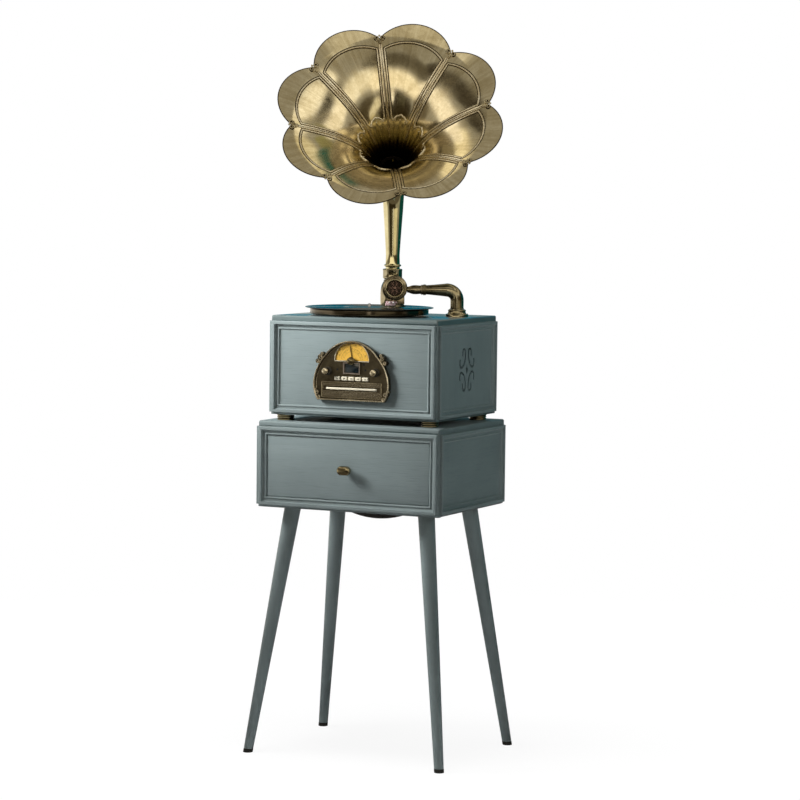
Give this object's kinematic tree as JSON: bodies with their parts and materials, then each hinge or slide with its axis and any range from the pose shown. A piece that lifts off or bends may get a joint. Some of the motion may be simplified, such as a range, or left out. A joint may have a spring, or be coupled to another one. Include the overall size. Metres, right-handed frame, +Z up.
{
  "type": "horn gramophone",
  "caption": "Floor-standing horn gramophone: a record deck with petal horn and tonearm on a cabinet with a radio and disc panel, on a drawer stand with splayed legs.",
  "frame": {"origin": "on the floor, midway between the four leg tips", "axes": "+Z up, the front with the drawer knob and panel faces -Y, +X to the right seen from the front"},
  "size_m": [0.5371, 0.411, 1.702],
  "materials": {
    "painted_wood": "matt",
    "painted_wood_dark": "matt",
    "inner_wood": "matt",
    "back_board": "matt",
    "rubber_tip": "matt",
    "steel": "satin",
    "black_steel": "gloss",
    "horn_brass": "brushed antique",
    "bright_brass": "polished",
    "dark_brass": "antique",
    "bronze_panel": "dark satin",
    "amber_dial": "printed",
    "dark_window": "gloss",
    "cream_plastic": "gloss",
    "black_plastic": "matt",
    "circuit_green": "satin",
    "paper_cone": "matt",
    "cloth": "matt",
    "platter_metal": "satin",
    "vinyl": "gloss",
    "belt_rubber": "matt",
    "pink_plastic": "gloss"
  },
  "bodies": {
    "cabinet": {"legs": "painted_wood", "leg_plates": "steel", "leg_tips": "rubber_tip", "stand_bottom": "painted_wood_dark", "stand_top": "painted_wood", "stand_sides": "painted_wood", "stand_back": "back_board", "stand_face_rails": "painted_wood", "stand_mouldings": "painted_wood", "drawer_runners": "inner_wood", "bass_driver": "paper_cone", "bass_grille": "black_steel", "spacer_feet": "bright_brass", "cabinet_sides": "painted_wood", "cabinet_bottom": "painted_wood_dark", "cabinet_top": "painted_wood", "cabinet_front": "painted_wood", "cabinet_back": "back_board", "cabinet_mouldings": "painted_wood", "side_drivers": "paper_cone", "grille_cloths": "cloth", "fascia": "bronze_panel", "dial_face": "amber_dial", "display_window": "dark_window", "cd_mechanism": "steel", "circuit_board": "circuit_green", "power_supply": "steel", "rear_sockets": "black_plastic", "platter_bearing": "bright_brass", "motor": "steel", "drive_belt": "belt_rubber", "tonearm_base": "bright_brass", "horn_bracket": "dark_brass", "horn_pedestal": "bright_brass"},
    "drawer": {"drawer_box": "inner_wood", "drawer_front": "painted_wood", "drawer_knob": "bright_brass"},
    "turntable": {"platter": "platter_metal", "spindle": "steel", "record": "vinyl"},
    "pulley": {"motor_pulley": "bright_brass"},
    "arm": {"tonearm": "bright_brass"},
    "head": {"sound_head": "dark_brass", "cartridge": "pink_plastic"},
    "horn": {"horn_collar": "bright_brass", "horn_tube": "bright_brass", "horn_elbow": "bright_brass", "horn_petals": "horn_brass", "horn_seams": "horn_brass", "rim_clips": "dark_brass"},
    "tray": {"cd_tray": "cream_plastic"},
    "tuning": {"dial_pointer": "black_plastic", "tuning_knob": "dark_brass"},
    "volume": {"volume_knob": "cream_plastic"},
    "mode": {"mode_knob": "cream_plastic"},
    "push_1": {"button_1": "cream_plastic"},
    "push_2": {"button_2": "cream_plastic"},
    "push_3": {"button_3": "cream_plastic"},
    "push_4": {"button_4": "cream_plastic"},
    "push_5": {"button_5": "cream_plastic"}
  },
  "joints": [
    {"name": "drawer_slide", "type": "slide", "parent": "cabinet", "child": "drawer", "axis": [0, -1, 0], "range_m": [0, 0.24]},
    {"name": "platter_spin", "type": "hinge", "parent": "cabinet", "child": "turntable", "pos_m": [-0.0328, -0.008, 1.0383], "axis": [0, 0, 1], "continuous": true},
    {"name": "pulley_spin", "type": "hinge", "parent": "cabinet", "child": "pulley", "pos_m": [0.0412, 0.066, 1.0285], "axis": [0, 0, 1], "continuous": true},
    {"name": "tonearm_swing", "type": "hinge", "parent": "cabinet", "child": "arm", "pos_m": [0.159, 0.064, 1.038], "axis": [0, 0, 1], "range_deg": [-5, 62]},
    {"name": "head_turn", "type": "hinge", "parent": "arm", "child": "head", "pos_m": [0.09069, 0.03068, 1.082], "axis": [-0.8988, -0.4384, 0], "range_deg": [0, 110]},
    {"name": "horn_swivel", "type": "hinge", "parent": "cabinet", "child": "horn", "pos_m": [-0.062, 0.172, 1.1003], "axis": [0, 0, 1], "range_deg": [-60, 60]},
    {"name": "cd_tray_slide", "type": "slide", "parent": "cabinet", "child": "tray", "axis": [0, -1, 0], "range_m": [0, 0.125]},
    {"name": "tuning_turn", "type": "hinge", "parent": "cabinet", "child": "tuning", "pos_m": [0, -0.154, 0.9225], "axis": [0, -1, 0], "range_deg": [-88, 72]},
    {"name": "volume_turn", "type": "hinge", "parent": "cabinet", "child": "volume", "pos_m": [-0.0615, -0.154, 0.8975], "axis": [0, -1, 0], "range_deg": [-150, 150]},
    {"name": "mode_turn", "type": "hinge", "parent": "cabinet", "child": "mode", "pos_m": [0.0615, -0.154, 0.8975], "axis": [0, -1, 0], "range_deg": [-60, 60]},
    {"name": "button_1_press", "type": "slide", "parent": "cabinet", "child": "push_1", "axis": [0, 1, 0], "range_m": [0, 0.0015], "stiffness_N_per_m": 300, "springref_m": -0.001},
    {"name": "button_2_press", "type": "slide", "parent": "cabinet", "child": "push_2", "axis": [0, 1, 0], "range_m": [0, 0.0015], "stiffness_N_per_m": 300, "springref_m": -0.001},
    {"name": "button_3_press", "type": "slide", "parent": "cabinet", "child": "push_3", "axis": [0, 1, 0], "range_m": [0, 0.0015], "stiffness_N_per_m": 300, "springref_m": -0.001},
    {"name": "button_4_press", "type": "slide", "parent": "cabinet", "child": "push_4", "axis": [0, 1, 0], "range_m": [0, 0.0015], "stiffness_N_per_m": 300, "springref_m": -0.001},
    {"name": "button_5_press", "type": "slide", "parent": "cabinet", "child": "push_5", "axis": [0, 1, 0], "range_m": [0, 0.0015], "stiffness_N_per_m": 300, "springref_m": -0.001}
  ],
  "couplings": [
    {"joint": "pulley_spin", "follows": "platter_spin", "ratio": 20}
  ]
}
